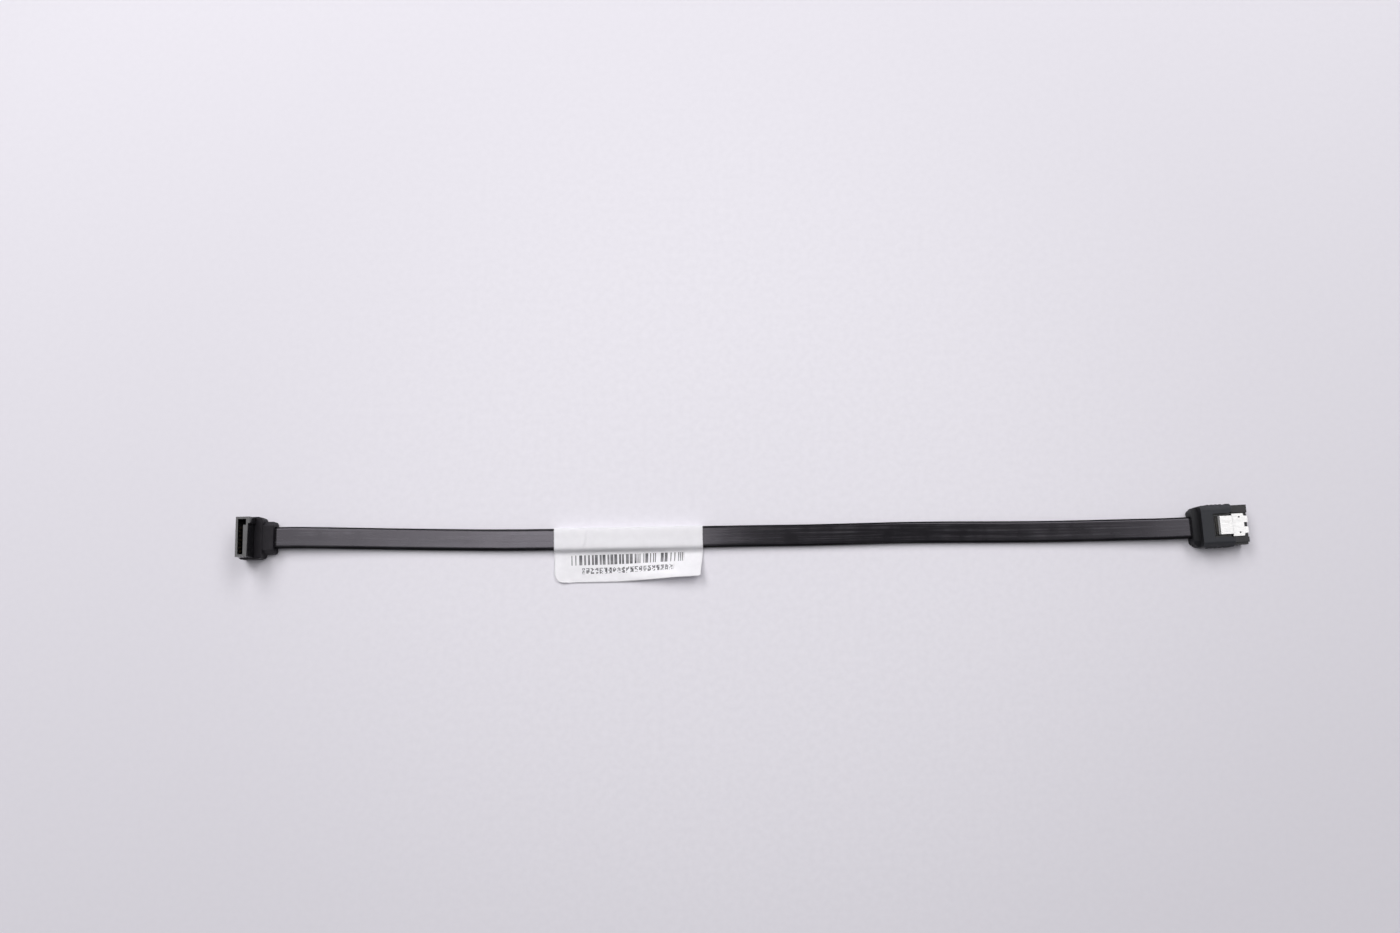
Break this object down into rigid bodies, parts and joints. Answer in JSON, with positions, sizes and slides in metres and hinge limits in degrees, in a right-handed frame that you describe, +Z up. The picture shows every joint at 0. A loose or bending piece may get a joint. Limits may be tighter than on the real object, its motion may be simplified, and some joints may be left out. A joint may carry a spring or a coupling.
{
  "type": "serial data cable",
  "caption": "Flat black data cable for a storage drive, with one straight latching connector, one right-angle connector and a white wrap label.",
  "frame": {"origin": "on the surface that the cable lies on, midway between the outer ends of the two connectors", "axes": "+X from the right-angle connector to the straight connector, +Z up out of the surface, +Y away from the label's flag"},
  "size_m": [0.329, 0.0257, 0.0108],
  "materials": {
    "overmould": "fine matte moulded texture",
    "housing": "glossy moulded",
    "inner_mould": "natural polyethylene",
    "jacket": "satin extruded vinyl",
    "latch_steel": "bright stamped spring steel",
    "contact_metal": "gold plated",
    "signal_skin": "natural foamed insulation",
    "ground_copper": "tinned copper",
    "label_film": "white semi-gloss film"
  },
  "bodies": {
    "cable_body": {"straight_overmould": "overmould", "straight_housing": "housing", "straight_inner_mould": "inner_mould", "straight_contact_1": "contact_metal", "straight_contact_2": "contact_metal", "straight_contact_3": "contact_metal", "straight_contact_4": "contact_metal", "straight_contact_5": "contact_metal", "straight_contact_6": "contact_metal", "straight_contact_7": "contact_metal", "straight_ground_wire_1": "ground_copper", "straight_signal_wire_2": "signal_skin", "straight_signal_wire_3": "signal_skin", "straight_ground_wire_4": "ground_copper", "straight_signal_wire_5": "signal_skin", "straight_signal_wire_6": "signal_skin", "straight_ground_wire_7": "ground_copper", "angled_overmould": "overmould", "angled_housing": "housing", "angled_inner_mould": "inner_mould", "angled_contact_1": "contact_metal", "angled_contact_2": "contact_metal", "angled_contact_3": "contact_metal", "angled_contact_4": "contact_metal", "angled_contact_5": "contact_metal", "angled_contact_6": "contact_metal", "angled_contact_7": "contact_metal", "angled_ground_wire_1": "ground_copper", "angled_signal_wire_2": "signal_skin", "angled_signal_wire_3": "signal_skin", "angled_ground_wire_4": "ground_copper", "angled_signal_wire_5": "signal_skin", "angled_signal_wire_6": "signal_skin", "angled_ground_wire_7": "ground_copper", "flat_cable": "jacket", "wrap_label": "label_film"},
    "latch": {"latch_spring": "latch_steel"}
  },
  "joints": [
    {"name": "latch_press", "type": "hinge", "parent": "cable_body", "child": "latch", "pos_m": [0.15389, 0.00181, 0.0049], "axis": [-0.0523, 0.9986, 0], "range_deg": [0, 2.8], "stiffness_Nm_per_rad": 0.2}
  ]
}
